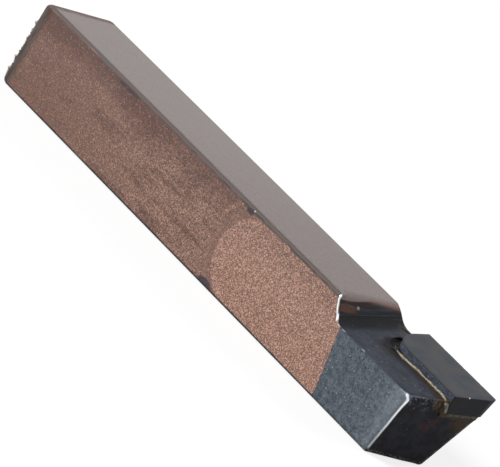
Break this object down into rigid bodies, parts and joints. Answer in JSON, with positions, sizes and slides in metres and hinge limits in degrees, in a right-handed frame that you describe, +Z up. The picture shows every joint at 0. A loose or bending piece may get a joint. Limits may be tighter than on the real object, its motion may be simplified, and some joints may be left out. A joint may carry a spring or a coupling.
{
  "type": "carbide-tipped turning tool",
  "caption": "Right-hand turning tool: a carbide tip brazed into a square steel shank with painted sides and a bare, blackened head.",
  "frame": {"origin": "middle of the bar's seating face, half way between its rear end and the cutting nose", "axes": "X along the bar to the cutting nose, Y across the bar to the carbide side, Z up from the seating face"},
  "size_m": [0.0887, 0.0132, 0.0127],
  "materials": {
    "painted_steel": "satin",
    "carbide": "ground",
    "silver_braze": "satin"
  },
  "bodies": {
    "root": {"shank": "painted_steel", "carbide_tip": "carbide", "braze": "silver_braze"}
  },
  "joints": []
}
